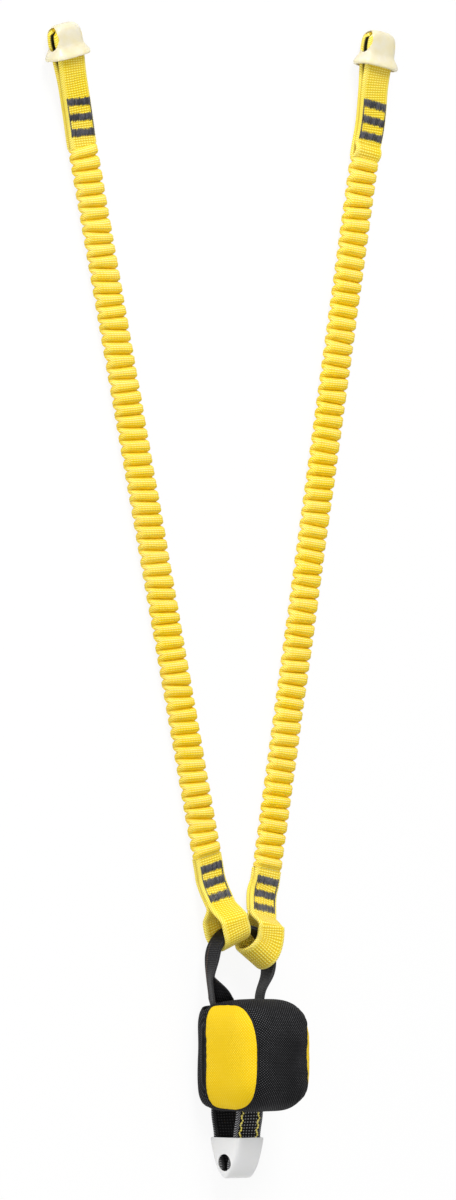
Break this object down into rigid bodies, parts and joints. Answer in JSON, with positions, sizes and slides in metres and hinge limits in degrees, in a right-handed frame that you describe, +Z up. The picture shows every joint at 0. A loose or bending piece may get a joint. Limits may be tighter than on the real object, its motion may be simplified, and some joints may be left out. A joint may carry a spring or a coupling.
{
  "type": "twin shock-absorbing lanyard",
  "caption": "Twin elastic webbing lanyard with pleated arms on a webbing hoop, a pouched tear-webbing shock absorber and a capped harness loop.",
  "frame": {"origin": "middle of the object's box, on the surface that it lies on", "axes": "+Z up from the surface, out of the pouch's front; +Y along the lanyard from the pouch to the arm tips; +X to the right"},
  "size_m": [0.3234, 0.8082, 0.069],
  "materials": {
    "yellow_webbing": "woven polyamide webbing",
    "elastic_core": "covered elastic",
    "dark_thread": "bar tack thread",
    "milky_cap": "soft translucent plastic, cream",
    "clear_cap": "soft translucent plastic, grey",
    "black_webbing": "woven webbing",
    "black_fabric": "stretch fabric",
    "yellow_fabric": "coated fabric",
    "yellow_thread": "stitching thread",
    "tear_webbing": "tear webbing"
  },
  "bodies": {
    "absorber": {"anchor_hoop": "black_webbing", "pouch_front_panel": "black_fabric", "pouch_back_panel": "black_fabric", "pouch_left_panel": "yellow_fabric", "pouch_right_panel": "yellow_fabric", "pouch_left_piping": "black_fabric", "pouch_right_piping": "black_fabric", "tear_webbing_pack": "tear_webbing", "anchor_bar_tacks": "yellow_thread"},
    "harness_end": {"harness_loop": "black_webbing", "harness_left_stitching": "yellow_thread", "harness_right_stitching": "yellow_thread"},
    "harness_cover": {"harness_cap": "clear_cap"},
    "left_arm": {"left_pleated_sleeve": "yellow_webbing", "left_elastic_core": "elastic_core", "left_lower_loop": "yellow_webbing", "left_lower_bar_tacks": "dark_thread"},
    "left_arm_end": {"left_upper_loop": "yellow_webbing", "left_upper_bar_tacks": "dark_thread"},
    "left_cover": {"left_end_cap": "milky_cap"},
    "right_arm": {"right_pleated_sleeve": "yellow_webbing", "right_elastic_core": "elastic_core", "right_lower_loop": "yellow_webbing", "right_lower_bar_tacks": "dark_thread"},
    "right_arm_end": {"right_upper_loop": "yellow_webbing", "right_upper_bar_tacks": "dark_thread"},
    "right_cover": {"right_end_cap": "milky_cap"}
  },
  "joints": [
    {"name": "left_arm_swing", "type": "hinge", "parent": "absorber", "child": "left_arm", "pos_m": [0.01198, -0.2507, 0.016], "axis": [0, 0, 1], "range_deg": [-4, 60]},
    {"name": "left_arm_stretch", "type": "slide", "parent": "left_arm", "child": "left_arm_end", "axis": [-0.2292, 0.9734, 0], "range_m": [0, 0.49], "stiffness_N_per_m": 60, "deforming": ["left_pleated_sleeve", "left_elastic_core"]},
    {"name": "left_cap_slide", "type": "slide", "parent": "left_arm_end", "child": "left_cover", "axis": [-0.2292, 0.9734, 0], "range_m": [0, 0.04]},
    {"name": "right_arm_swing", "type": "hinge", "parent": "absorber", "child": "right_arm", "pos_m": [0.01198, -0.2507, 0.016], "axis": [0, 0, 1], "range_deg": [-60, 4]},
    {"name": "right_arm_stretch", "type": "slide", "parent": "right_arm", "child": "right_arm_end", "axis": [0.1822, 0.9833, 0], "range_m": [0, 0.49], "stiffness_N_per_m": 60, "deforming": ["right_pleated_sleeve", "right_elastic_core"]},
    {"name": "right_cap_slide", "type": "slide", "parent": "right_arm_end", "child": "right_cover", "axis": [0.1822, 0.9833, 0], "range_m": [0, 0.04]},
    {"name": "harness_swing", "type": "hinge", "parent": "absorber", "child": "harness_end", "pos_m": [0.00828, -0.3575, 0.0165], "axis": [1, 0, 0], "range_deg": [-40, 60], "deforming": ["harness_loop", "harness_left_stitching", "harness_right_stitching"]},
    {"name": "harness_cap_slide", "type": "slide", "parent": "harness_end", "child": "harness_cover", "axis": [0, -1, 0], "range_m": [0, 0.04]}
  ]
}
